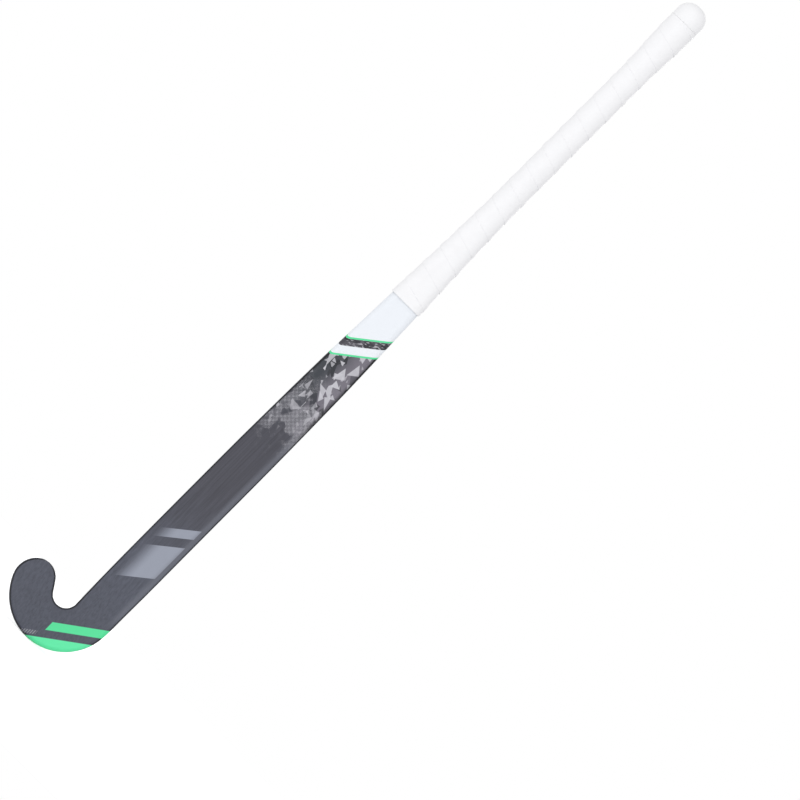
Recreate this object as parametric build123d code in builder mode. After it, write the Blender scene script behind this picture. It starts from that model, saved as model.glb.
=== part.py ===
"""Field hockey stick: a hollow composite stick with a flat playing face, wrapped grip and end cap.

The origin is the middle of the round stretch of the grip. +Z runs along the handle towards the butt,
the flat playing face looks towards -Y, the toe of the hook points towards -X and the heel towards +X.
Heights are measured up from the lowest point of the head, widths and lengths are in millimetres.
"""
import os
from math import acos, atan2, cos, degrees, hypot, radians, sin, sqrt

from build123d import *

# ---- Overall -------------------------------------------------------------------------------------
overall_length = 927.0  # lowest point of the head to the end of the butt
bow_start_height = 328.0  # the shaft is straight above this height
bow_depth = 33.1  # lean of the stick's middle towards the face at the bottom of the head
outline_lift = 1.5  # the tilted back edge of the head hangs this far below its face

# ---- Head ----------------------------------------------------------------------------------------
heel_radius = 57.2  # outside of the hook's bend
crook_radius = 13.6  # inside of the hook's bend
toe_back_radius = 24.0  # outside of the toe
toe_tip_radius = 19.1  # round end of the toe
toe_back_turn = 157.0  # degrees round the bend where the heel arc passes into the back of the toe
toe_tip_turn = 127.0  # direction from +X where the back of the toe passes into its round end
head_thickness = 13.0
head_crown = 5.8  # rise of the domed back above its edges
edge_face_radius = 3.0
edge_back_radius = 2.4

# ---- Shaft and handle sections, from the head up -------------------------------------------------
# height, width, thickness, crown of the back, radius of the face edges, radius of the back edges
lower_shaft_section = (150.0, 45.2, 12.1, 4.8, 2.7, 2.6)
middle_shaft_section = (220.0, 45.2, 13.0, 5.2, 2.8, 3.0)
upper_shaft_section = (300.0, 44.9, 14.3, 5.6, 3.0, 3.4)
taper_start_section = (360.0, 43.4, 16.4, 6.0, 3.6, 4.2)
taper_middle_section = (420.0, 40.9, 18.7, 6.2, 4.6, 5.4)
taper_end_section = (470.0, 37.3, 20.7, 6.2, 5.6, 6.6)
throat_section = (506.0, 34.8, 21.8, 5.6, 6.6, 7.4)
handle_taper_section = (560.0, 29.4, 22.8, 4.6, 8.6, 8.8)
handle_low_section = (610.0, 26.4, 23.4, 3.8, 9.8, 9.8)
neck_rim = (11.8, 4.8, 2.9, 2.4)  # the neck's and the waist's thickness, crown and edge radii
waist_rim = (11.0, 4.2, 2.7, 2.4)
neck_rise = 19.3  # the neck is this far above the middle of the hook's bend
neck_extra_width = 0.6  # the neck is this much wider than the hook
waist_rise = 22.0  # from the neck to the waist
waist_share = 0.6  # of the change in width from neck to lower shaft that the waist has made
handle_section = (25.0, 23.6, 3.4, 10.4, 10.2)  # without a height: it holds over the round stretch
flare_section = (27.6, 27.0, 3.4, 11.5, 11.2)  # the handle swells to this under the butt
round_length = 180.0  # handle and grip are straight over this length
round_top_drop = 97.0  # the straight stretch ends this far below the butt
flare_drop = 34.0  # the handle is at its widest from this far below the butt
laminate_end_drop = 16.0  # the laminate ends this far below the butt, under the cap's dome
round_steps = 4

# ---- Walls, cores and clearances -----------------------------------------------------------------
laminate_wall = 2.6
bond_gap = 0.1  # adhesive line between bonded pieces
tube_wall = 0.7
face_plate_thickness = 0.8
core_top_height = 92.0  # the foam core fills the head below this
damper_length = 90.0
plug_depth = 30.0
plug_flange_radius = 12.5
plug_flange_thickness = 1.6
plug_stud_radius = 7.0
plug_stud_height = 5.0
underlay_thickness = 0.7

# ---- Grip and butt cap ---------------------------------------------------------------------------
grip_start_height = 506.0
grip_low_rows = ((506.0, 38.0, 26.2, 9.6), (556.0, 33.6, 26.8, 11.6), (606.0, 30.4, 27.6, 13.0))
grip_radius = 14.3  # the round stretch, where a hand or a clip holds the stick
grip_flare_radius = 16.6
cap_height = 23.0
cap_dome_radius = 15.0

# ---- Limits of the construction ------------------------------------------------------------------
smallest_radius = 0.5
edge_share = 0.52  # most of a section's edge that one rounded corner may take
reach = 160.0  # size of the blocks that cut pieces to their heights, larger than the hook
toe_inside_trim = 3  # sections at the toe's tip that belong to its solid end wall
bend_steps = 10

# ---- Heights that follow -------------------------------------------------------------------------
round_high_height = overall_length - round_top_drop
round_low_height = round_high_height - round_length
grip_centre_height = (round_high_height + round_low_height) / 2
flare_height = overall_length - flare_drop
laminate_end_height = overall_length - laminate_end_drop
cap_bottom_height = overall_length - cap_height

# ---- Neck and waist, which follow the hook --------------------------------------------------------
hook_width = heel_radius - crook_radius
neck_height = heel_radius + outline_lift + neck_rise
neck_width = hook_width + neck_extra_width
waist_width = neck_width + waist_share * (lower_shaft_section[1] - neck_width)
neck_section = (neck_height, neck_width, *neck_rim)
waist_section = (neck_height + waist_rise, waist_width, *waist_rim)


def level(height):
    """Height above the head's lowest point, as Z in the part's frame."""
    return height - grip_centre_height


def bow(height):
    """Lean of the stick's middle towards the face at a height."""
    drop = max(bow_start_height - height, 0.0)
    return bow_depth * (drop / bow_start_height) ** 3


def on_circle(centre, radius, turn):
    """Point of a circle in the front view, at an angle in degrees from +X."""
    return (centre[0] + radius * cos(radians(turn)), centre[1] + radius * sin(radians(turn)))


def station(inner, outer, thickness, crown, face_radius, back_radius):
    """One section of the stick between two edge points of the face, given as (x, height)."""
    ends = [Vector(x, -bow(height) - thickness / 2, level(height)) for x, height in (inner, outer)]
    across = (ends[1] - ends[0]).normalized()
    backwards = Vector(0, 1, 0)
    depth = (backwards - across * backwards.dot(across)).normalized()
    place = Plane(origin=(ends[0] + ends[1]) * 0.5, x_dir=across, z_dir=across.cross(depth))
    return (place, (ends[1] - ends[0]).length, thickness, crown, face_radius, back_radius)


def shaft_station(height, width, thickness, crown, face_radius, back_radius):
    """A level section of the shaft or handle, centred on the handle's axis."""
    edges = ((-width / 2, height), (width / 2, height))
    return station(*edges, thickness, crown, face_radius, back_radius)


def shaft_stations():
    """Sections from the butt down to the neck just above the head."""
    swell_height = (flare_height + round_high_height) / 2
    swell_section = [(a + b) / 2 for a, b in zip(handle_section, flare_section)]
    rows = [(laminate_end_height, *flare_section), (flare_height, *flare_section)]
    rows.append((swell_height, *swell_section))
    for step in range(round_steps + 1):
        drop = (round_high_height - round_low_height) * step / round_steps
        rows.append((round_high_height - drop, *handle_section))
    rows += [handle_low_section, handle_taper_section, throat_section, taper_end_section]
    rows += [taper_middle_section, taper_start_section, upper_shaft_section]
    rows += [middle_shaft_section, lower_shaft_section, waist_section, neck_section]
    return [shaft_station(*row) for row in rows]


# ---- Hook outline: tangent arcs about three centres ----------------------------------------------
bend_centre = (-hook_width / 2 - crook_radius, heel_radius + outline_lift)
toe_back_centre = on_circle(bend_centre, heel_radius - toe_back_radius, -toe_back_turn)
toe_tip_centre = on_circle(toe_back_centre, toe_back_radius - toe_tip_radius, toe_tip_turn)
tip_offset = (toe_tip_centre[0] - bend_centre[0], toe_tip_centre[1] - bend_centre[1])
# The crook runs into the round end of the toe along the line that touches both circles.
tip_direction = degrees(atan2(tip_offset[1], tip_offset[0]))
touch_turn = degrees(acos((crook_radius + toe_tip_radius) / hypot(*tip_offset)))
crook_end_turn = tip_direction + touch_turn
crook_end = on_circle(bend_centre, crook_radius, crook_end_turn)
toe_line_end = on_circle(toe_tip_centre, toe_tip_radius, crook_end_turn + 180)


def toe_edges():
    """Pairs of edge points from the end of the crook round to the tip of the toe."""
    pairs = []
    for share, back_turn in ((0.35, 198), (0.7, 183), (1.0, 168)):
        inner = tuple(a + share * (b - a) for a, b in zip(crook_end, toe_line_end))
        pairs.append((inner, on_circle(toe_back_centre, toe_back_radius, back_turn)))
    tip_top = (crook_end_turn + 180 + 168) / 2
    for spread in (54, 42, 30, 18, 8):
        left_turn = tip_top + spread
        on_tip = left_turn < toe_tip_turn
        left_circle = (toe_tip_centre, toe_tip_radius) if on_tip else (toe_back_centre, toe_back_radius)
        right = on_circle(toe_tip_centre, toe_tip_radius, tip_top - spread)
        pairs.append((right, on_circle(*left_circle, left_turn)))
    return pairs


def hook_stations():
    """Sections round the bend and the toe, from the end of the shaft to the tip."""
    pairs = []
    for step in range(bend_steps + 1):
        turn = crook_end_turn * step / bend_steps
        inner = on_circle(bend_centre, crook_radius, turn)
        pairs.append((inner, on_circle(bend_centre, heel_radius, turn)))
    edge_height = head_thickness - head_crown
    sections = []
    for inner, outer in pairs + toe_edges():
        place, width, *_ = station(inner, outer, head_thickness, head_crown, 0, 0)
        crown = head_crown * min(width / hook_width, 1.0) ** 2
        sections.append((place, width, edge_height + crown, crown, edge_face_radius, edge_back_radius))
    return sections


def blank(stations, inset=0.0, face_inset=None):
    """Solid through the sections, with every side moved inwards by the inset."""
    face_inset = inset if face_inset is None else face_inset
    with BuildPart() as form:
        for place, width, thickness, crown, face_radius, back_radius in stations:
            dome_radius = (width**2 / 4 + crown**2) / (2 * crown)
            half = width / 2 - inset
            edge_top = thickness - dome_radius + sqrt((dome_radius - inset) ** 2 - half**2)
            largest = min(edge_share * (edge_top - face_inset), half - smallest_radius)
            with BuildSketch(place) as profile:
                with BuildLine():
                    Polyline((-half, edge_top), (-half, face_inset), (half, face_inset), (half, edge_top))
                    ThreePointArc((half, edge_top), (0, thickness - inset), (-half, edge_top))
                make_face()
                face_corners = profile.vertices().sort_by(Axis.Y)[:2]
                fillet(face_corners, min(max(face_radius - inset, smallest_radius), largest))
                back_corners = profile.vertices().sort_by(Axis.Y)[-2:]
                fillet(back_corners, min(max(back_radius - inset, smallest_radius), largest))
        loft()
    return form.part


def sheet(stations, inset, face_inset, thickness):
    """Thin strip through the sections, lying behind the playing face."""
    with BuildPart() as form:
        for place, width, *_ in stations:
            with BuildSketch(place):
                with Locations((0, face_inset + thickness / 2)):
                    Rectangle(width - 2 * inset, thickness)
        loft()
    return form.part


def slab(low_height, high_height, left=-reach, right=reach):
    """Block that keeps what lies between two heights, and between two places across."""
    middle = Align.CENTER
    with BuildPart(Plane.XY.offset(level(low_height))) as block:
        with Locations(((left + right) / 2, 0)):
            Box(right - left, reach, high_height - low_height, align=(middle, middle, Align.MIN))
    return block.part


# ---- Shared forms --------------------------------------------------------------------------------
all_stations = shaft_stations() + hook_stations()
inside_stations = all_stations[:-toe_inside_trim]
bonded_inset = laminate_wall + bond_gap
core_face_inset = bonded_inset + face_plate_thickness + bond_gap
plug_bottom_height = laminate_end_height - plug_depth
damper_top_height = plug_bottom_height - bond_gap
damper_bottom_height = damper_top_height - damper_length
tube_bottom_height = core_top_height + bond_gap
tube_top_height = damper_bottom_height - bond_gap
underlay_top_height = cap_bottom_height - bond_gap

outer_form = blank(all_stations)
cavity_form = blank(inside_stations, laminate_wall)
bonded_form = blank(inside_stations, bonded_inset)
tube_bore_form = blank(inside_stations, bonded_inset + tube_wall)
core_form = blank(inside_stations, bonded_inset, core_face_inset)
plate_form = sheet(inside_stations, bonded_inset + edge_face_radius, bonded_inset, face_plate_thickness)
underlay_form = blank(all_stations, -underlay_thickness)

# ---- Stick ---------------------------------------------------------------------------------------
with BuildPart() as outer_laminate:
    add(outer_form)
    add(cavity_form, mode=Mode.SUBTRACT)

with BuildPart() as hook_core:
    add(core_form)
    add(slab(0, core_top_height), mode=Mode.INTERSECT)

with BuildPart() as hook_face_plate:
    add(plate_form)
    add(slab(0, core_top_height), mode=Mode.INTERSECT)

web_face = bond_gap / 2  # where a tube's flat side starts, measured from the handle's axis
web_inside = web_face + tube_wall
tubes = {}
for tube_name, outside_limits, bore_limits in (
    ("heel_tube", (web_face, reach), (web_inside, reach)),
    ("toe_tube", (-reach, -web_face), (-reach, -web_inside)),
):
    outside_block = slab(tube_bottom_height, tube_top_height, *outside_limits)
    bore_block = slab(tube_bottom_height, tube_top_height, *bore_limits)
    with BuildPart() as tube_bore:
        add(tube_bore_form)
        add(bore_block, mode=Mode.INTERSECT)
    with BuildPart() as tube:
        add(bonded_form)
        add(outside_block, mode=Mode.INTERSECT)
        add(tube_bore.part, mode=Mode.SUBTRACT)
    tubes[tube_name] = tube

# ---- Handle end ----------------------------------------------------------------------------------
with BuildPart() as handle_damper:
    add(bonded_form)
    add(slab(damper_bottom_height, damper_top_height), mode=Mode.INTERSECT)

with BuildPart() as butt_plug:
    add(bonded_form)
    add(slab(plug_bottom_height, laminate_end_height), mode=Mode.INTERSECT)
    with BuildSketch(Plane.XY.offset(level(laminate_end_height))):
        Circle(plug_flange_radius)
    extrude(amount=plug_flange_thickness)
    with BuildSketch(Plane.XY.offset(level(laminate_end_height) + plug_flange_thickness)):
        Circle(plug_stud_radius)
    extrude(amount=plug_stud_height)

with BuildPart() as butt_cap:
    with BuildSketch(Plane.XY.offset(level(cap_bottom_height))):
        Circle(grip_flare_radius)
    extrude(amount=overall_length - cap_bottom_height)
    fillet(butt_cap.edges().group_by(Axis.Z)[-1], cap_dome_radius)
    add(outer_form, mode=Mode.SUBTRACT)
    with BuildSketch(Plane.XY.offset(level(laminate_end_height))):
        Circle(plug_flange_radius + bond_gap)
    extrude(amount=plug_flange_thickness + bond_gap, mode=Mode.SUBTRACT)
    with BuildSketch(Plane.XY.offset(level(laminate_end_height) + plug_flange_thickness)):
        Circle(plug_stud_radius + bond_gap)
    extrude(amount=plug_stud_height + bond_gap, mode=Mode.SUBTRACT)

# ---- Grip ----------------------------------------------------------------------------------------
with BuildPart() as grip_underlay:
    add(underlay_form)
    add(slab(grip_start_height, underlay_top_height), mode=Mode.INTERSECT)
    add(outer_form, mode=Mode.SUBTRACT)

with BuildPart() as grip_tape:
    for height, width, thickness, corner_radius in grip_low_rows:
        with BuildSketch(Plane.XY.offset(level(height))):
            RectangleRounded(width, thickness, corner_radius)
    with BuildSketch(Plane.XY.offset(level(round_low_height))):
        RectangleRounded(2 * grip_radius, 2 * grip_radius, grip_radius - bond_gap)
    loft()
    with BuildSketch(Plane.XY.offset(level(round_low_height))):
        Circle(grip_radius)
    extrude(amount=round_high_height - round_low_height)
    with BuildSketch(Plane.XZ):
        with BuildLine():
            swell = Spline((grip_radius, level(round_high_height)), (grip_flare_radius, level(flare_height)),
                           tangents=((0, 1), (0, 1)))
            Polyline(swell @ 1, (grip_flare_radius, level(underlay_top_height)),
                     (0, level(underlay_top_height)), (0, level(round_high_height)), swell @ 0)
        make_face()
    revolve(axis=Axis.Z)
    add(underlay_form, mode=Mode.SUBTRACT)

# ---- Labels and files ----------------------------------------------------------------------------
os.makedirs("parts", exist_ok=True)
pieces = {
    "outer_laminate": outer_laminate,
    "hook_core": hook_core,
    "hook_face_plate": hook_face_plate,
    **tubes,
    "handle_damper": handle_damper,
    "butt_plug": butt_plug,
    "butt_cap": butt_cap,
    "grip_underlay": grip_underlay,
    "grip_tape": grip_tape,
}
for node, piece in pieces.items():
    piece.part.label = node
    export_step(piece.part, f"parts/{node}.step")
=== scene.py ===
"""Field hockey stick: the finishes, the wound grip and the cap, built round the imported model.

Lengths inside the materials are in millimetres, with heights counted up from the lowest
point of the head. Everything else is in metres, in the model's own frame.
"""

from __future__ import annotations

import logging
import math
from dataclasses import dataclass
from enum import Enum

import bmesh
import bpy
from mathutils import Matrix, Vector, noise
from mathutils.bvhtree import BVHTree


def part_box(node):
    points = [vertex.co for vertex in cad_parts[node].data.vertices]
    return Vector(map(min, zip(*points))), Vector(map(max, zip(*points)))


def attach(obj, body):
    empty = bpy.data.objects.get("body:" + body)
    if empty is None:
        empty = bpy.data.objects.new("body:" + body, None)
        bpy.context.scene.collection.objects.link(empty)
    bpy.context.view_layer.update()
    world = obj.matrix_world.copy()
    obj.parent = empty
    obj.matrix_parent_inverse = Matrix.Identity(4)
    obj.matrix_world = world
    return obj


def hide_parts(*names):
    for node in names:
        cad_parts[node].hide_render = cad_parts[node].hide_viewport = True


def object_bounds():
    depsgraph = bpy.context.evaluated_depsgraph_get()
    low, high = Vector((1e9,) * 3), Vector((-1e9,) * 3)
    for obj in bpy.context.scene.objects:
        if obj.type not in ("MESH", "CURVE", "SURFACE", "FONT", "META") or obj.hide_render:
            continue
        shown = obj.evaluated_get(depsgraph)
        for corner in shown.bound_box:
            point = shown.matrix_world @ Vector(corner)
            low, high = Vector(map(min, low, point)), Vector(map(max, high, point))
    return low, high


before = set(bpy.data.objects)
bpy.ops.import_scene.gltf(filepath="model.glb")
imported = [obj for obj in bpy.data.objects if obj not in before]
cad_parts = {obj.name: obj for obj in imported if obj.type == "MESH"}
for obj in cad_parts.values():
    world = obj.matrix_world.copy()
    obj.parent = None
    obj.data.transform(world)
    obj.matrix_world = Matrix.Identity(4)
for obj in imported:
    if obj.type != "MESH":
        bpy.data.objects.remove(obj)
CAD_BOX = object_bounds()

log = logging.getLogger("hockey_stick")

Socket = bpy.types.NodeSocket
Number = float | Socket
Colour = tuple[float, float, float, float]
Span = tuple[float, float]

MM = 0.001
HEAD_LOW = CAD_BOX[0].z


def paint(red: int, green: int, blue: int) -> Colour:
    """Turn a paint maker's 0 to 255 mix into a linear colour."""

    def linear(part: int) -> float:
        """Undo the screen curve of one part."""
        share = part / 255
        return share / 12.92 if share <= 0.04045 else ((share + 0.055) / 1.055) ** 2.4

    return (linear(red), linear(green), linear(blue), 1.0)


class Lay(Enum):
    """How the strands of a cloth or braid lie."""

    TWILL = "two over two, steps to one side"
    PLAIN = "one over one"
    BRAID = "two sets of strands at 45 degrees"


class Recipe:
    """Builds the nodes of one material, or of a world, by short calls."""

    def __init__(self, name: str, world: bpy.types.World | None = None) -> None:
        """Start with no nodes.

        Args:
            name: the material's name.
            world: the world, where the nodes are its own.
        """
        self.owner = world or bpy.data.materials.new(name)
        self.owner.use_nodes = True
        self.tree = self.owner.node_tree
        self.tree.nodes.clear()
        coordinates = self.add("ShaderNodeTexCoord")
        self.place = coordinates.outputs["Object"]
        self.facing = coordinates.outputs["Normal"]

    def add(self, kind: str, inputs: dict | None = None, **settings: object) -> bpy.types.Node:
        """Add a node.

        Args:
            kind: the node's type.
            inputs: value or socket for each input, by name or number.
            settings: the node's own settings.

        Returns:
            The node.
        """
        node = self.tree.nodes.new(kind)
        for name, value in settings.items():
            setattr(node, name, value)
        for key, value in (inputs or {}).items():
            if isinstance(value, Socket):
                self.tree.links.new(value, node.inputs[key])
            else:
                node.inputs[key].default_value = value
        return node

    def math(self, operation: str, a: Number, b: Number = 0.0, c: Number = 0.0) -> Socket:
        """Work out one sum.

        Args:
            operation: which sum it is.
            a: the first number.
            b: the second number.
            c: the third number.

        Returns:
            The answer's socket.
        """
        return self.add("ShaderNodeMath", {0: a, 1: b, 2: c}, operation=operation).outputs[0]

    def total(self, *terms: tuple[Number, float]) -> Socket:
        """Add up numbers, each times its weight.

        Args:
            terms: pairs of number and weight.

        Returns:
            The sum's socket.
        """
        value, weight = terms[0]
        result = self.math("MULTIPLY", value, weight)
        for value, weight in terms[1:]:
            result = self.math("MULTIPLY_ADD", value, weight, result)
        return result

    def times(self, *factors: Number) -> Socket:
        """Multiply numbers together.

        Args:
            factors: two or more numbers.

        Returns:
            The product's socket.
        """
        result = factors[0]
        for factor in factors[1:]:
            result = self.math("MULTIPLY", result, factor)
        return result

    def rise(self, value: Number, low: float, high: float) -> Socket:
        """Go smoothly from 0 at low to 1 at high, or back where high is the lower.

        Args:
            value: what is measured.
            low: where the answer is 0.
            high: where the answer is 1.

        Returns:
            The share's socket.
        """
        first, last, start, end = (low, high, 0.0, 1.0) if low < high else (high, low, 1.0, 0.0)
        node = self.add(
            "ShaderNodeMapRange",
            {0: value, 1: first, 2: last, 3: start, 4: end},
            interpolation_type="SMOOTHSTEP",
        )
        return node.outputs[0]

    def band(self, value: Number, low: float, high: float, soft: float = 0.25) -> Socket:
        """Give 1 between two edges and 0 outside them.

        Args:
            value: what is measured.
            low: the lower edge.
            high: the upper edge.
            soft: half the width over which an edge blurs.

        Returns:
            The mask's socket.
        """
        up = self.rise(value, low - soft, low + soft)
        down = self.rise(value, high + soft, high - soft)
        return self.times(up, down)

    def mix(self, share: Number, first: Colour | Socket, second: Colour | Socket) -> Socket:
        """Blend two colours.

        Args:
            share: how much of the second shows.
            first: the colour beneath.
            second: the colour on top.

        Returns:
            The blend's socket.
        """
        node = self.add("ShaderNodeMix", {0: share, 6: first, 7: second}, data_type="RGBA")
        return node.outputs[2]

    def blend(self, share: Number, first: Number, second: Number) -> Socket:
        """Blend two numbers, as mix does colours."""
        node = self.add("ShaderNodeMix", {0: share, 2: first, 3: second}, data_type="FLOAT")
        return node.outputs[0]

    def split(self, vector: Socket) -> tuple[Socket, Socket, Socket]:
        """Take a vector apart into its three numbers."""
        out = self.add("ShaderNodeSeparateXYZ", {0: vector}).outputs
        return out[0], out[1], out[2]

    def join(self, x: Number, y: Number, z: Number = 0.0) -> Socket:
        """Make a vector of three numbers."""
        return self.add("ShaderNodeCombineXYZ", {0: x, 1: y, 2: z}).outputs[0]

    def millimetres(self) -> tuple[Socket, Socket, Socket]:
        """Give width, depth and height above the head's lowest point.

        Returns:
            The three sockets, in millimetres.
        """
        x, y, z = self.split(self.place)
        height = self.math("MULTIPLY_ADD", z, 1 / MM, -HEAD_LOW / MM)
        return self.times(x, 1 / MM), self.times(y, 1 / MM), height

    def mottle(self, scale: float, detail: float = 3.0, roughness: float = 0.5,
               vector: Socket | None = None) -> Socket:
        """Give soft random patches.

        Args:
            scale: patches to a unit of the vector.
            detail: how many finer layers are added.
            roughness: how strong the finer layers are.
            vector: where to look it up, or the object's own place.

        Returns:
            The patches' socket, about 0.5.
        """
        inputs = {"Vector": vector or self.place, "Scale": scale, "Detail": detail,
                  "Roughness": roughness}
        return self.add("ShaderNodeTexNoise", inputs).outputs[0]

    def cells(self, vector: Socket, scale: float, output: str, **settings: object) -> Socket:
        """Give a cell pattern.

        Args:
            vector: where to look it up.
            scale: cells to a unit of the vector.
            output: the name of the output wanted.
            settings: the node's own settings.

        Returns:
            The pattern's socket.
        """
        node = self.add("ShaderNodeTexVoronoi", {"Vector": vector, "Scale": scale}, **settings)
        return node.outputs[output]

    def weave(self, across: Socket, along: Socket, pitch: float, lay: Lay) -> Socket:
        """Give the height of woven strands, from 0 to 1.

        Args:
            across: millimetres across the cloth.
            along: millimetres along the cloth.
            pitch: millimetres from one strand to the next.
            lay: how the strands cross.

        Returns:
            The height's socket.
        """
        if lay is Lay.BRAID:
            up_left = self.total((across, 0.7), (along, 0.7))
            up_right = self.total((across, 0.7), (along, -0.7))
            across, along = up_left, up_right
        column, row = self.times(across, 1 / pitch), self.times(along, 1 / pitch)
        step = self.total((self.math("FLOOR", column), 1.0), (self.math("FLOOR", row), 1.0))
        length = 2.0 if lay is Lay.PLAIN else 4.0
        turn = self.math("FLOORED_MODULO", step, length)
        over = self.math("LESS_THAN", turn, length / 2 - 0.5)
        round_column = self.math("SINE", self.times(self.math("FRACT", column), math.pi))
        round_row = self.math("SINE", self.times(self.math("FRACT", row), math.pi))
        return self.blend(over, round_row, round_column)

    def bump(self, height: Number, distance: float, strength: float = 1.0,
             normal: Socket | None = None) -> Socket:
        """Raise the surface in its shading.

        Args:
            height: the height's socket, from 0 to 1.
            distance: what a height of 1 stands for, in metres.
            strength: how much of it shows.
            normal: an earlier bump, if there is one.

        Returns:
            The normal's socket.
        """
        inputs = {"Height": height, "Distance": distance, "Strength": strength}
        if normal is not None:
            inputs["Normal"] = normal
        return self.add("ShaderNodeBump", inputs).outputs[0]

    def finish(self, colour: Colour | Socket, roughness: Number, normal: Socket | None = None,
               **fixed: float | Colour) -> bpy.types.Material:
        """Close the recipe with its shader.

        Args:
            colour: the base colour.
            roughness: how matt it is.
            normal: the bump, if there is one.
            fixed: other sockets of the shader, with spaces written as underscores.

        Returns:
            The material.
        """
        inputs: dict = {"Base Color": colour, "Roughness": roughness}
        if normal is not None:
            inputs["Normal"] = normal
        for name, value in fixed.items():
            inputs[name.replace("_", " ")] = value
        shader = self.add("ShaderNodeBsdfPrincipled", inputs)
        self.add("ShaderNodeOutputMaterial", {0: shader.outputs[0]})
        return self.owner


@dataclass(frozen=True)
class StickLacquer:
    """The laminate's finish: charcoal clear coat over twill, with printed bands and blocks.

    A pair that ends in "face and back" holds the flat side's value and the domed side's.
    """

    low_charcoal: Colour = paint(79, 82, 94)
    high_charcoal: Colour = paint(71, 71, 80)
    back_charcoal: Colour = paint(60, 63, 71)
    # Near-black for the sides: partly their own dark finish, partly painted shade along the
    # rounded edges.
    edge_black_and_painted_shade: Colour = paint(14, 14, 18)
    # Colour of the painted highlight along the heel edge of the face.
    painted_highlight_grey: Colour = paint(114, 117, 128)
    # Colour of the painted highlight along the middle of each side.
    painted_side_highlight_grey: Colour = paint(72, 76, 88)
    green: Colour = paint(88, 228, 158)
    cap_green: Colour = paint(100, 240, 173)
    white: Colour = paint(241, 245, 251)
    block_grey: Colour = paint(152, 157, 171)
    shard_light: Colour = paint(204, 203, 210)
    shard_middle: Colour = paint(118, 114, 124)
    shard_dark: Colour = paint(56, 60, 67)
    shard_deep: Colour = paint(34, 36, 42)
    strand_pitch: float = 1.1
    painted_highlight_heights: Span = (70.0, 325.0)  # a painted highlight runs along the heel edge between these and a painted shadow darkens that edge across these
    shadow_heights: Span = (322.0, 350.0)  # and turns dark across these
    shard_heights: Span = (335.0, 415.0)  # shards grow in across these
    dot_heights: Span = (308.0, 392.0)
    dot_pitch: float = 1.9
    block_slope: float = 0.79
    block_anchor: float = 16.3  # how far across the blocks' levels are measured
    block_right: float = 16.85  # the blocks' heel-side end
    block_fade: Span = (-17.5, 0.5)
    block_levels: Span = (130.9, 174.2)
    bar_levels: Span = (186.3, 198.0)
    throat_height: float = 459.0
    dark_band: Span = (-10.8, -1.1)  # levels below the throat's height
    upper_pinstripe: Span = (-1.1, 1.2)
    lower_pinstripe: Span = (-23.8, -21.5)
    heel_slope: Span = (0.815, -0.579)  # shares of height and width in a heel level
    heel_top: Span = (22.0, 19.9)  # face and back
    stripe_low: Span = (30.0, 23.6)  # face and back
    stripe_high: Span = (38.6, 31.5)  # face and back
    stripe_end: Span = (-26.0, -37.0)  # face and back
    mark_levels: Span = (24.0, 28.0)
    mark_reach: Span = (-43.5, -30.5)
    mark_pitch: float = 2.2

    def material(self) -> bpy.types.Material:
        """Build the lacquer.

        Returns:
            The material.
        """
        r = Recipe("stick_lacquer")
        x, y, h = r.millimetres()
        _, side_y, _ = r.split(r.facing)
        on_face = r.rise(side_y, -0.55, -0.9)
        on_back = r.rise(side_y, -0.25, 0.35)
        upright = r.math("ABSOLUTE", side_y)
        on_side = r.rise(upright, 0.94, 0.72)
        strands = r.weave(r.total((x, 1.0), (y, 1.0)), h, self.strand_pitch, Lay.TWILL)
        colour = self.ground(r, x, y, h, on_back, strands)
        colour = self.shards(r, colour, x, h)
        colour = self.blocks(r, colour, x, h, on_face)
        # Painted highlight: a lighter stripe just inside the heel edge of the face, where light
        # would catch it.
        lit = r.band(h, *self.painted_highlight_heights, 15.0)
        rim = r.times(r.rise(x, 12.5, 18.5), lit, on_face, 0.55)
        colour = r.mix(rim, colour, self.painted_highlight_grey)
        shadow = r.times(r.rise(x, 15.5, 21.5), r.rise(h, *self.shadow_heights), 0.85)
        # The sides and rounded edges go near-black: partly the sides' own dark finish, partly
        # painted shade on the rounded edges; above the painted highlight the heel edge also gets a
        # painted shadow.
        colour = r.mix(r.math("MAXIMUM", on_side, shadow), colour, self.edge_black_and_painted_shade)
        # Painted highlight: a lighter line along the middle of each side, over the near-black.
        painted_side_highlight = r.rise(upright, 0.55, 0.12)
        colour = r.mix(r.times(painted_side_highlight, on_side), colour, self.painted_side_highlight_grey)
        colour = self.throat(r, colour, x, y, h)
        colour = self.head(r, colour, x, h, on_back)
        grain = r.mottle(900.0, 2.0)
        normal = r.bump(strands, 0.00004, 0.35)
        normal = r.bump(r.mottle(28.0, 2.0), 0.0006, 0.15, normal)
        roughness = r.total((grain, 0.16), (strands, 0.05), (r.mottle(14.0), 0.10), (on_side, 0.2))
        roughness = r.math("ADD", roughness, 0.26)
        return r.finish(colour, roughness, normal, Specular_IOR_Level=0.28)

    def ground(self, r: Recipe, x: Socket, y: Socket, h: Socket, on_back: Socket,
               strands: Socket) -> Socket:
        """Lay the charcoal with its brushed streaks and faint twill.

        Args:
            r: the recipe.
            x: millimetres across.
            y: millimetres through.
            h: millimetres up.
            on_back: 1 on the domed side.
            strands: height of the twill's strands.

        Returns:
            The colour.
        """
        base = r.mix(r.rise(h, 110.0, 250.0), self.low_charcoal, self.high_charcoal)
        base = r.mix(on_back, base, self.back_charcoal)
        drawn_out = r.join(r.total((x, 0.55), (y, 0.3)), r.times(h, 0.012), y)
        streaks = r.mottle(1.0, 3.0, 0.6, drawn_out)
        lift = r.math("MULTIPLY_ADD", r.math("SUBTRACT", streaks, 0.5), 0.9, 1.0)
        lift = r.math("MULTIPLY", lift, r.math("MULTIPLY_ADD", strands, 0.16, 0.90))
        lift = r.math("MULTIPLY", lift, r.math("MULTIPLY_ADD", r.mottle(7.0), 0.3, 0.85))
        dimmed = r.add("ShaderNodeHueSaturation", {"Color": base, "Value": lift})
        return dimmed.outputs[0]

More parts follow.
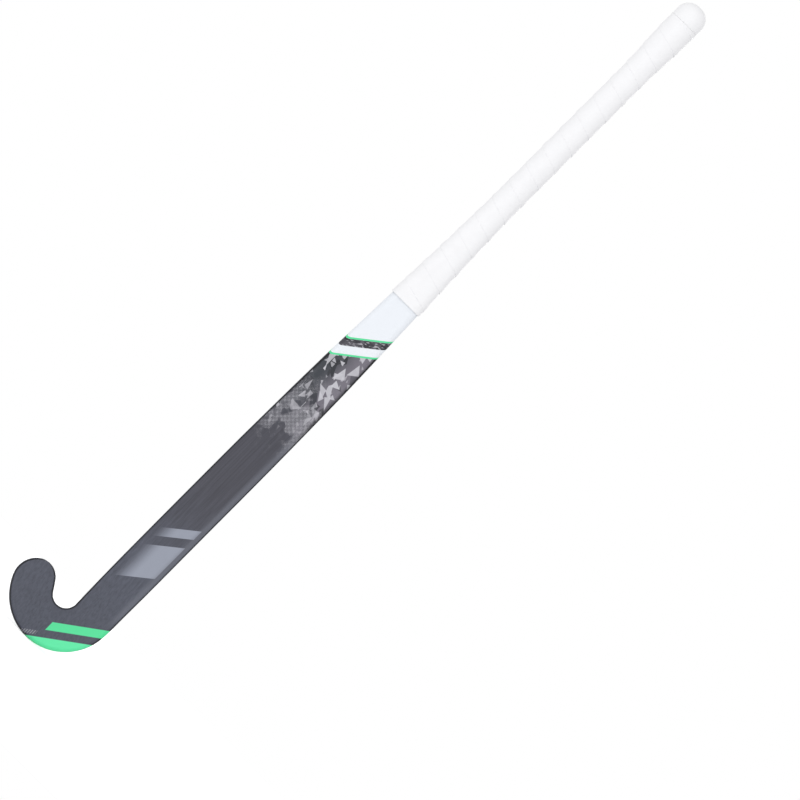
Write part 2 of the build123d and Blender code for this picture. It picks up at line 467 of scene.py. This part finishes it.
    def splinter(self, r: Recipe, across: Socket, along: Socket) -> tuple[Socket, ...]:
        """Find the random cell a point is in, and where it is in the cell's own turned axes.

        Args:
            r: the recipe.
            across: place in cell widths.
            along: place in cell lengths.

        Returns:
            The two turned coordinates, and two random numbers kept by the whole cell.
        """
        place = r.join(across, along)
        cell = r.add("ShaderNodeTexVoronoi", {"Vector": place, "Scale": 1.0},
                     voronoi_dimensions="2D", feature="F1")
        first, second, third = r.split(cell.outputs["Color"])
        away = r.add("ShaderNodeVectorMath", {0: place, 1: cell.outputs["Position"]},
                     operation="SUBTRACT").outputs[0]
        angle = r.times(first, math.tau)
        turned = r.add("ShaderNodeVectorRotate", {"Vector": away, "Angle": angle},
                       rotation_type="Z_AXIS").outputs[0]
        u, v, _ = r.split(turned)
        return u, v, second, third

    def facets(self, r: Recipe, across: Socket, along: Socket) -> Socket:
        """Break a plane into straight-edged facets, each cell cut once at its own angle.

        Args:
            r: the recipe.
            across: place in cell widths.
            along: place in cell lengths.

        Returns:
            A random shade for each facet.
        """
        u, _, second, third = self.splinter(r, across, along)
        return r.blend(r.math("GREATER_THAN", u, 0.04), second, third)

    def triangles(self, r: Recipe, across: Socket, along: Socket,
                  share: Number) -> tuple[Socket, Socket]:
        """Scatter sharp triangles, one to a cell at its own angle.

        Args:
            r: the recipe.
            across: place in cell widths.
            along: place in cell lengths.
            share: how many of the cells have one, from 0 to 1.

        Returns:
            The triangles' mask, and a random shade for each.
        """
        u, v, second, third = self.splinter(r, across, along)
        reach = r.math("MULTIPLY_ADD", third, 0.20, 0.14)
        base = r.total((u, -1.0), (reach, -1.5))
        left = r.total((u, 0.30), (v, 0.95), (reach, -0.62))
        right = r.total((u, 0.36), (v, -0.93), (reach, -0.50))
        outside = r.math("MAXIMUM", r.math("MAXIMUM", base, left), right)
        mask = r.times(r.rise(outside, 0.02, -0.02), r.math("LESS_THAN", second, share))
        return mask, third

    def shards(self, r: Recipe, colour: Socket, x: Socket, h: Socket) -> Socket:
        """Print the broken light shards and the fine square dots below them.

        Args:
            r: the recipe.
            colour: what lies beneath.
            x: millimetres across.
            h: millimetres up.

        Returns:
            The colour.
        """
        heel_side = r.rise(x, -13.0, 12.0)
        leaning = r.total((x, 0.080), (h, 0.036))
        rising = r.total((h, 0.050), (x, -0.030))
        facet = self.facets(r, leaning, rising)
        lighter = r.times(heel_side, r.rise(facet, 0.15, 0.6))
        tone = r.mix(lighter, self.shard_dark, self.shard_middle)
        tone = r.mix(r.times(r.math("LESS_THAN", facet, 0.25), 0.6), tone, self.shard_deep)
        for size, shift, share, depth, shown in (
            (1.3, 3.0, 0.50, -0.20, self.shard_deep),
            (0.9, 0.0, 0.85, -0.70, self.shard_light),
            (1.4, 7.0, 0.55, -0.35, self.shard_light),
            (2.2, 5.0, 0.30, 0.00, self.shard_light),
        ):
            crowd = r.math("MULTIPLY_ADD", r.math("SUBTRACT", 1.0, heel_side), depth, share)
            mask, shade = self.triangles(r, r.math("ADD", r.times(leaning, size), shift),
                                         r.math("ADD", r.times(rising, size), shift), crowd)
            tone = r.mix(r.times(mask, r.math("MULTIPLY_ADD", shade, 0.5, 0.42)), tone, shown)
        reach = r.rise(r.math("ADD", h, r.times(facet, 40.0)), *self.shard_heights)
        colour = r.mix(r.times(reach, r.rise(h, 300.0, 320.0)), colour, tone)
        step = 1 / self.dot_pitch
        column = r.math("FRACT", r.total((x, step), (h, step)))
        row = r.math("FRACT", r.total((x, step), (h, -step)))
        size = r.blend(r.band(h, 318.0, 372.0, 16.0), 0.30, 0.54)
        dot = r.times(r.math("LESS_THAN", column, size), r.math("LESS_THAN", row, size))
        patch = r.rise(r.mottle(55.0, 2.0, 0.6), 0.44, 0.54)
        dot = r.times(dot, r.band(h, *self.dot_heights, 14.0), patch, 0.85)
        return r.mix(dot, colour, self.shard_light)

    def blocks(self, r: Recipe, colour: Socket, x: Socket, h: Socket, on_face: Socket) -> Socket:
        """Print the two slanted grey blocks that fade across the face.

        Args:
            r: the recipe.
            colour: what lies beneath.
            x: millimetres across.
            h: millimetres up.
            on_face: 1 on the flat side.

        Returns:
            The colour.
        """
        level = r.total((h, 1.0), (x, -self.block_slope))
        level = r.math("ADD", level, self.block_slope * self.block_anchor)
        either = r.math("MAXIMUM", r.band(level, *self.block_levels),
                        r.band(level, *self.bar_levels))
        fade = r.rise(x, *self.block_fade)
        edge = r.rise(x, self.block_right + 0.25, self.block_right - 0.25)
        return r.mix(r.times(either, fade, edge, on_face), colour, self.block_grey)

    def throat(self, r: Recipe, colour: Socket, x: Socket, y: Socket, h: Socket) -> Socket:
        """Paint the white throat, the tilted bands and their two green pinstripes.

        Args:
            r: the recipe.
            colour: what lies beneath.
            x: millimetres across.
            y: millimetres through.
            h: millimetres up.

        Returns:
            The colour.
        """
        tilt = r.math("MULTIPLY_ADD", y, -0.01325, 0.6525)
        level = r.math("SUBTRACT", h, r.times(tilt, x))
        level = r.math("ADD", level, r.math("MULTIPLY_ADD", y, -0.5, -self.throat_height))
        around = r.total((x, 1.0), (y, 0.6))
        slide = r.total((around, 0.16), (level, 0.14))
        facet = self.facets(r, slide, r.times(level, 0.20))
        dark = r.mix(r.times(facet, 0.6), self.shard_deep, self.shard_middle)
        for size, share in ((1.0, 0.55), (1.9, 0.6)):
            mask, shade = self.triangles(r, r.times(slide, size),
                                         r.times(level, 0.24 * size), share)
            strength = r.times(mask, r.math("MULTIPLY_ADD", shade, 0.4, 0.4))
            dark = r.mix(strength, dark, self.shard_light)
        white_start = self.lower_pinstripe[1]
        colour = r.mix(r.rise(level, white_start - 0.3, white_start + 0.3), colour, self.white)
        colour = r.mix(r.band(level, *self.dark_band), colour, dark)
        stripes = r.math("MAXIMUM", r.band(level, *self.upper_pinstripe),
                         r.band(level, *self.lower_pinstripe))
        return r.mix(stripes, colour, self.green)

    def head(self, r: Recipe, colour: Socket, x: Socket, h: Socket, on_back: Socket) -> Socket:
        """Paint the green heel, the green stripe above it and the short marks between them.

        Args:
            r: the recipe.
            colour: what lies beneath.
            x: millimetres across.
            h: millimetres up.
            on_back: 1 on the domed side.

        Returns:
            The colour.
        """
        level = r.total((h, self.heel_slope[0]), (x, self.heel_slope[1]))

        def past(value: Socket, limit: Span) -> Socket:
            """Say how far a value is past the face's limit, or the back's on the back."""
            return r.math("SUBTRACT", value, r.blend(on_back, *limit))

        cap = r.rise(past(level, self.heel_top), 0.25, -0.25)
        low = r.rise(past(level, self.stripe_low), -0.25, 0.25)
        high = r.rise(past(level, self.stripe_high), 0.25, -0.25)
        end = r.rise(past(x, self.stripe_end), -0.25, 0.25)
        near_head = r.rise(h, 96.0, 90.0)
        marks = r.rise(r.math("FRACT", r.times(x, 1 / self.mark_pitch)), 0.62, 0.5)
        marks = r.times(marks, r.band(x, *self.mark_reach), r.band(level, *self.mark_levels))
        colour = r.mix(r.times(marks, 0.35, r.rise(on_back, 0.5, 0.4)), colour, self.shard_light)
        colour = r.mix(r.times(low, high, end, near_head), colour, self.green)
        return r.mix(r.times(cap, near_head), colour, self.cap_green)


@dataclass(frozen=True)
class GripFinish:
    """White cushioned polyurethane tape with a fine leather grain."""

    name: str
    body: Colour = paint(250, 250, 252)
    grain_to_metre: float = 900.0
    crease: float = 0.00012

    def material(self) -> bpy.types.Material:
        """Build the tape's finish.

        Returns:
            The material.
        """
        r = Recipe(self.name)
        soft = r.mottle(60.0, 4.0, 0.55)
        shade = r.math("MULTIPLY_ADD", soft, 0.05, 0.975)
        tint = r.add("ShaderNodeHueSaturation", {"Color": self.body, "Value": shade}).outputs[0]
        grain = r.cells(r.place, self.grain_to_metre, "Distance")
        normal = r.bump(grain, self.crease, 0.35)
        normal = r.bump(soft, 0.0012, 0.25, normal)
        roughness = r.total((soft, 0.18), (grain, 0.12))
        roughness = r.math("ADD", roughness, 0.42)
        return r.finish(tint, roughness, normal, Specular_IOR_Level=0.3, Sheen_Weight=0.08,
                        Sheen_Roughness=0.5)


@dataclass(frozen=True)
class FoamFinish:
    """Foam with its open or closed cells."""

    name: str
    body: Colour
    cells_to_metre: float
    roughness: float = 0.85

    def material(self) -> bpy.types.Material:
        """Build the foam.

        Returns:
            The material.
        """
        r = Recipe(self.name)
        pits = r.cells(r.place, self.cells_to_metre, "Distance")
        # The colour darkens towards each cell's pit: painted shade in the hollows.
        shade = r.math("MULTIPLY_ADD", pits, 0.35, 0.78)
        tint = r.add("ShaderNodeHueSaturation", {"Color": self.body, "Value": shade}).outputs[0]
        roughness = r.math("MULTIPLY_ADD", r.mottle(40.0), 0.12, self.roughness - 0.06)
        return r.finish(tint, roughness, r.bump(pits, 0.4 / self.cells_to_metre, 0.6))


@dataclass(frozen=True)
class ClothFinish:
    """Woven or braided fibre set in resin."""

    name: str
    strand: Colour
    gap: Colour
    pitch: float
    lay: Lay
    roughness: float = 0.4

    def material(self) -> bpy.types.Material:
        """Build the cloth.

        Returns:
            The material.
        """
        r = Recipe(self.name)
        x, y, h = r.millimetres()
        height = r.weave(r.total((x, 1.0), (y, 1.0)), h, self.pitch, self.lay)
        colour = r.mix(height, self.gap, self.strand)
        fuzz = r.mottle(600.0, 4.0, 0.7)
        roughness = r.math("MULTIPLY_ADD", fuzz, 0.2, self.roughness - 0.1)
        normal = r.bump(height, self.pitch * 0.15 * MM, 0.7)
        return r.finish(colour, roughness, r.bump(fuzz, 0.00005, 0.4, normal))


@dataclass(frozen=True)
class MouldedFinish:
    """Moulded plastic or rubber with a spark-eroded grain."""

    name: str
    body: Colour
    roughness: float = 0.55

    def material(self) -> bpy.types.Material:
        """Build the moulding's finish.

        Returns:
            The material.
        """
        r = Recipe(self.name)
        grain = r.mottle(1400.0, 3.0, 0.6)
        flow = r.mottle(45.0, 2.0)
        shade = r.math("MULTIPLY_ADD", flow, 0.16, 0.92)
        tint = r.add("ShaderNodeHueSaturation", {"Color": self.body, "Value": shade}).outputs[0]
        roughness = r.math("MULTIPLY_ADD", grain, 0.2, self.roughness - 0.1)
        return r.finish(tint, roughness, r.bump(grain, 0.00006, 0.5))


def dress(piece: bpy.types.Object, material: bpy.types.Material) -> None:
    """Give a piece one finish all over.

    Args:
        piece: the object.
        material: its finish.
    """
    for slot in piece.material_slots:
        slot.material = material
    if not piece.material_slots:
        piece.data.materials.append(material)
    log.info("%s: %s", piece.name, material.name)


def eased(share: float) -> float:
    """Go smoothly from 0 at 0 to 1 at 1, and stay there."""
    share = min(max(share, 0.0), 1.0)
    return share * share * (3 - 2 * share)


def object_from(mesh_builder: bmesh.types.BMesh, name: str) -> bpy.types.Object:
    """Make an object of a finished bmesh, smooth shaded, and free the bmesh.

    Args:
        mesh_builder: the shape.
        name: the piece's name.

    Returns:
        The object, at the origin.
    """
    for face in mesh_builder.faces:
        face.smooth = True
    mesh = bpy.data.meshes.new(name)
    mesh_builder.to_mesh(mesh)
    mesh_builder.free()
    piece = bpy.data.objects.new(name, mesh)
    bpy.context.scene.collection.objects.link(piece)
    return piece


@dataclass
class Laminate:
    """The carbon shell that is shaft, hook and handle."""

    node: str = "outer_laminate"
    finish: StickLacquer = StickLacquer()

    def build(self) -> bpy.types.Object:
        """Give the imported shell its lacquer.

        Returns:
            The shell.
        """
        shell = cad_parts[self.node]
        dress(shell, self.finish.material())
        return shell


@dataclass
class GripWrap:
    """One strip of cushioned tape wound from the throat to the cap, each turn over the last."""

    node: str = "grip_tape"
    pitch: float = 0.0240
    strip: float = 0.0288
    thickness: float = 0.00130
    lap_rise: float = 0.00042  # an exposed edge stands this far above the handle's outline
    tuck: float = 0.00025  # a covered edge lies this far below it
    clearance: float = 0.00005
    run: float = 0.0030  # the strip changes thickness over this width
    first_edge: float = 0.8785  # height of an exposed edge on the face
    steps_to_turn: int = 60
    columns: int = 15
    core: float = 0.020  # radius the strip is first wound at
    fade: float = 0.012  # laps and wrinkles fade out this close to the cap
    wrinkle: float = 0.00016
    crease: float = 1.5
    seam_middle: float = 0.004
    seam_reach: float = 0.006
    outside: float = 0.06  # farther out than any part of the grip

    def strip_section(self) -> bmesh.types.BMesh:
        """Make the strip's rounded cross-section as a closed ring of edges.

        Returns:
            The ring, in the plane of the handle's axis.
        """
        shape = bmesh.new()
        bmesh.ops.create_grid(shape, x_segments=1, y_segments=1, size=0.5)
        bmesh.ops.delete(shape, geom=shape.faces[:], context="FACES_ONLY")
        turn = Matrix.Rotation(math.radians(90), 4, "X")
        size = Matrix.Diagonal((self.thickness, 1.0, self.strip, 1.0))
        bmesh.ops.transform(shape, matrix=size @ turn, verts=shape.verts[:])
        bmesh.ops.bevel(shape, geom=shape.verts[:], offset=self.thickness * 0.42, segments=3,
                        profile=0.5, material=-1, affect="VERTICES")
        long_edges = [e for e in shape.edges if e.calc_length() > self.strip / 2]
        bmesh.ops.subdivide_edges(shape, edges=long_edges, cuts=self.columns)
        return shape

    def faces_at(self, across: float) -> tuple[float, float, float]:
        """Say where the strip's two faces lie, thinned at its edges so that the laps rest flat.

        Args:
            across: metres from the strip's exposed edge.

        Returns:
            How far the inner and the outer face lie outside the handle's outline, in metres,
            and how much of the wrinkles the outer face has.
        """
        covered = self.strip - self.pitch
        lifted = 1 - eased((across - covered * 0.75) / (covered * 1.15))
        tucked = eased((across - self.pitch + self.run) / self.run)
        resting = 1 - eased((across - covered - self.run * 0.6) / self.run)
        outer = self.lap_rise * lifted - self.tuck * tucked
        inner = (self.thickness - self.tuck + self.clearance) * resting - self.thickness
        return inner, outer, 1 - tucked

    def wind(self, shape: bmesh.types.BMesh, low: float, high: float) -> None:
        """Spin the cross-section into a helix that covers the grip and a turn past each end.

        Args:
            shape: the cross-section, changed in place.
            low: the grip's lower end.
            high: the grip's upper end.
        """
        turns = math.ceil((high - low) / self.pitch) + 3
        top = self.first_edge + HEAD_LOW
        while top < high + self.pitch:
            top += self.pitch
        lift = Vector((self.core, 0.0, top + self.strip / 2))
        bmesh.ops.translate(shape, verts=shape.verts[:], vec=lift)
        bmesh.ops.rotate(shape, verts=shape.verts[:], cent=(0, 0, 0),
                         matrix=Matrix.Rotation(math.radians(-90), 3, "Z"))
        bmesh.ops.spin(shape, geom=shape.verts[:] + shape.edges[:], cent=(0, 0, 0),
                       axis=(0, 0, 1), dvec=(0, 0, -self.pitch / self.steps_to_turn),
                       angle=math.tau, steps=self.steps_to_turn)
        first_turn = shape.verts[:] + shape.edges[:] + shape.faces[:]
        for turn in range(1, turns):
            copy = bmesh.ops.duplicate(shape, geom=first_turn)["geom"]
            corners = [item for item in copy if isinstance(item, bmesh.types.BMVert)]
            bmesh.ops.translate(shape, verts=corners, vec=(0, 0, -self.pitch * turn))
        bmesh.ops.remove_doubles(shape, verts=shape.verts[:], dist=1e-6)

    def settle(self, shape: bmesh.types.BMesh, low: float, high: float) -> None:
        """Press the helix onto the handle's outline, with laps and wrinkles.

        Args:
            shape: the helix, changed in place.
            low: the grip's lower end.
            high: the grip's upper end.
        """
        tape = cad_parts[self.node]
        surface = BVHTree.FromObject(tape, bpy.context.evaluated_depsgraph_get())
        layer = shape.verts.layers.float["from_edge"]
        clear = 0.0004
        start = self.first_edge + HEAD_LOW
        for vertex in shape.verts:
            x, y, z = vertex.co
            out = Vector((x, y, 0.0)).normalized()
            share = (math.hypot(x, y) - self.core) / self.thickness + 0.5
            level = min(max(z, low + clear), high - clear)
            hit = surface.ray_cast(out * self.outside + Vector((0, 0, level)), -out)[0]
            radius = math.hypot(hit.x, hit.y)
            angle = (math.atan2(y, x) + math.pi / 2) % math.tau
            edge = start - self.pitch * angle / math.tau
            across = (z - edge) % self.pitch
            near_cap = min((high - level) / self.fade, 1.0)
            inner, outer, loose = self.faces_at(vertex[layer])
            outer *= near_cap if outer > 0 else 1.0
            spot = Vector((out.x * radius, out.y * radius, z))
            ripple = noise.noise(spot * 95) * 1.3 + noise.noise(spot * 260) * 0.7
            near_seam = math.exp(-((across - self.seam_middle) / self.seam_reach) ** 2)
            right = min(max(out.x * 1.4, 0.0), 1.0)
            pull = spot.x * 0.9 + spot.z * 0.55
            crease = abs(noise.noise(Vector((pull * 430, spot.z * 60, out.y * 2))))
            ripple -= crease * self.crease * near_seam * right * near_cap
            outer += ripple * self.wrinkle * loose * near_cap
            depth = inner + (outer - inner) * share
            vertex.co = Vector((out.x * (radius + depth), out.y * (radius + depth), z))

    def trim(self, shape: bmesh.types.BMesh, height: float, side: int) -> None:
        """Cut the wrap off square and close the cut.

        Args:
            shape: the wound tape, changed in place.
            height: where the cut is.
            side: 1 to cut away what is above it, -1 what is below.
        """
        cut = bmesh.ops.bisect_plane(
            shape, geom=shape.verts[:] + shape.edges[:] + shape.faces[:],
            plane_co=(0, 0, height), plane_no=(0, 0, side), clear_outer=True)
        edges = [item for item in cut["geom_cut"] if isinstance(item, bmesh.types.BMEdge)]
        closed = bmesh.ops.triangle_fill(shape, edges=edges, use_beauty=True)["geom"]
        for face in (item for item in closed if isinstance(item, bmesh.types.BMFace)):
            face.normal_update()
            if face.normal.z * side < 0:
                face.normal_flip()
        for edge in edges:
            edge.smooth = False

    def build(self) -> bpy.types.Object:
        """Build, trim and dress the wrap.

        Returns:
            The wrap.
        """
        lower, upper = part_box(self.node)
        shape = self.strip_section()
        layer = shape.verts.layers.float.new("from_edge")
        for vertex in shape.verts:
            vertex[layer] = vertex.co.z + self.strip / 2
        self.wind(shape, lower.z, upper.z)
        self.settle(shape, lower.z, upper.z)
        bmesh.ops.recalc_face_normals(shape, faces=shape.faces[:])
        for height, side in ((lower.z, -1), (upper.z, 1)):
            self.trim(shape, height, side)
        wrap = object_from(shape, "grip_wrap")
        dress(wrap, GripFinish("grip_tape_finish").material())
        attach(wrap, "root")
        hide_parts(self.node)
        return wrap


@dataclass
class ButtCap:
    """The white rounded end over the butt."""

    node: str = "butt_cap"
    sides: int = 96
    dome: float = 0.0150
    groove: float = 0.00025

    def build(self) -> bpy.types.Object:
        """Build and dress the cap.

        Returns:
            The cap.
        """
        lower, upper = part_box(self.node)
        radius, height = upper.x, upper.z - lower.z
        shape = bmesh.new()
        place = Matrix.Translation((0, 0, (lower.z + upper.z) / 2))
        bmesh.ops.create_cone(shape, cap_ends=True, segments=self.sides, radius1=radius,
                              radius2=radius, depth=height, matrix=place)
        rim = [e for e in shape.edges if all(v.co.z > upper.z - 1e-6 for v in e.verts)]
        bmesh.ops.bevel(shape, geom=rim, offset=self.dome, segments=14, profile=0.5,
                        material=-1, affect="EDGES")
        lip = [e for e in shape.edges if all(v.co.z < lower.z + 1e-6 for v in e.verts)]
        bmesh.ops.bevel(shape, geom=lip, offset=self.groove, segments=3, profile=0.5,
                        material=-1, affect="EDGES")
        cap = object_from(shape, "butt_end_cap")
        dress(cap, GripFinish("cap_rubber_finish", grain_to_metre=1200.0).material())
        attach(cap, "root")
        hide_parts(self.node)
        return cap


@dataclass
class Innards:
    """What the shell holds: foam, braids, plug and the layer under the wrap."""

    def build(self) -> list[bpy.types.Object]:
        """Dress each inner node.

        Returns:
            The nodes.
        """
        braid = ClothFinish("inner_braid", paint(48, 48, 52), paint(22, 22, 25), 2.4, Lay.BRAID)
        finishes = {
            "hook_core": FoamFinish("head_foam", paint(226, 214, 178), 900.0),
            "hook_face_plate": ClothFinish("aramid_cloth", paint(214, 178, 84),
                                           paint(150, 116, 44), 1.8, Lay.PLAIN),
            "heel_tube": braid,
            "toe_tube": braid,
            "handle_damper": FoamFinish("damper_foam", paint(58, 60, 64), 700.0),
            "butt_plug": MouldedFinish("plug_plastic", paint(40, 42, 46)),
            "grip_underlay": FoamFinish("underlay_foam", paint(70, 72, 78), 1100.0),
        }
        made: dict[str, bpy.types.Material] = {}
        for node, finish in finishes.items():
            if finish.name not in made:
                made[finish.name] = finish.material()
            dress(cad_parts[node], made[finish.name])
        return [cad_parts[node] for node in finishes]


@dataclass
class Studio:
    """Camera, lamps, floor and backdrop."""

    middle_x: float = 0.0649
    middle_z: float = -0.3066
    view_height: float = 0.8068
    lens: float = 400.0
    sensor: float = 36.0
    roll: float = 44.936
    yaw: float = 2.5
    ambient: float = 0.77
    floor_radius: float = 1.6
    lamp_size: float = 1.6
    lamp_watts: float = 22.0

    def camera(self) -> bpy.types.Object:
        """Place the camera all but square to the flat face, turned so that the stick leans.

        Returns:
            The camera.
        """
        data = bpy.data.cameras.new("camera")
        data.lens, data.sensor_width = self.lens, self.sensor
        distance = self.lens / self.sensor * self.view_height
        view = bpy.data.objects.new("camera", data)
        bpy.context.scene.collection.objects.link(view)
        lean = Matrix.Rotation(math.radians(self.roll), 4, "Z")
        upright = Matrix.Rotation(math.pi / 2, 4, "X")
        aside = Matrix.Rotation(math.radians(-self.yaw), 4, "Z")
        back = Matrix.Translation((0.0, 0.0, distance))
        middle = Matrix.Translation((self.middle_x, 0.0, self.middle_z))
        view.matrix_world = middle @ aside @ upright @ back @ lean
        bpy.context.scene.camera = view
        return view

    def lamp(self, name: str, place: Vector, aim: Vector) -> None:
        """Hang one soft square lamp.

        Args:
            name: the lamp's name.
            place: where it hangs.
            aim: what it points at.
        """
        data = bpy.data.lights.new(name, "AREA")
        data.shape, data.size, data.energy = "SQUARE", self.lamp_size, self.lamp_watts
        lamp = bpy.data.objects.new(name, data)
        lamp.location = place
        lamp.rotation_mode = "QUATERNION"
        lamp.rotation_quaternion = (aim - place).to_track_quat("-Z", "Y")
        bpy.context.scene.collection.objects.link(lamp)

    def seen(self, r: Recipe) -> Socket:
        """Give 1 for rays that show the background itself or its mirror image."""
        path = r.add("ShaderNodeLightPath").outputs
        direct = r.math("MAXIMUM", path["Is Camera Ray"], path["Is Glossy Ray"])
        return r.math("MAXIMUM", direct, path["Is Transmission Ray"])

    def world(self) -> None:
        """Light the room evenly, with a white backdrop."""
        world = bpy.data.worlds.new("studio")
        bpy.context.scene.world = world
        r = Recipe("studio", world)
        level = r.math("MULTIPLY_ADD", self.seen(r), 1 - self.ambient, self.ambient)
        shade = r.add("ShaderNodeBackground", {"Color": (1.0, 1.0, 1.0, 1.0), "Strength": level})
        r.add("ShaderNodeOutputWorld", {0: shade.outputs[0]})

    def floor(self) -> bpy.types.Object:
        """Lay a pale round floor under the head.

        Returns:
            The floor.
        """
        shape = bmesh.new()
        bmesh.ops.create_circle(shape, cap_ends=True, segments=64, radius=self.floor_radius,
                                matrix=Matrix.Translation((0, 0, HEAD_LOW - 0.0004)))
        floor = object_from(shape, "floor")
        r = Recipe("floor_paper")
        fibre = r.mottle(300.0, 4.0)
        colour = r.mix(fibre, paint(232, 232, 233), paint(240, 240, 241))
        paper = r.add("ShaderNodeBsdfDiffuse", {"Color": colour, "Roughness": 0.6})
        glow = r.add("ShaderNodeEmission", {"Strength": r.times(self.seen(r), 0.5)})
        both = r.add("ShaderNodeAddShader", {0: paper.outputs[0], 1: glow.outputs[0]})
        r.add("ShaderNodeOutputMaterial", {0: both.outputs[0]})
        dress(floor, r.owner)
        return floor

    def build(self) -> None:
        """Set up the whole studio."""
        self.camera()
        aim = Vector((0.0, 0.0, -0.3))
        self.lamp("key", Vector((-0.75, -2.8, 0.1)), aim)
        self.lamp("back_key", Vector((0.75, 2.8, 0.1)), aim)
        self.world()
        self.floor()
        scene = bpy.context.scene
        scene.view_settings.view_transform = "Standard"


def main() -> None:
    """Build the studio and each sub-assembly."""
    logging.basicConfig(level=logging.INFO, format="%(name)s: %(message)s")
    Studio().build()
    for part in (Laminate(), GripWrap(), ButtCap(), Innards()):
        made = part.build()
        log.info("%s is ready: %s", type(part).__name__, made)


if __name__ == "__main__":
    main()
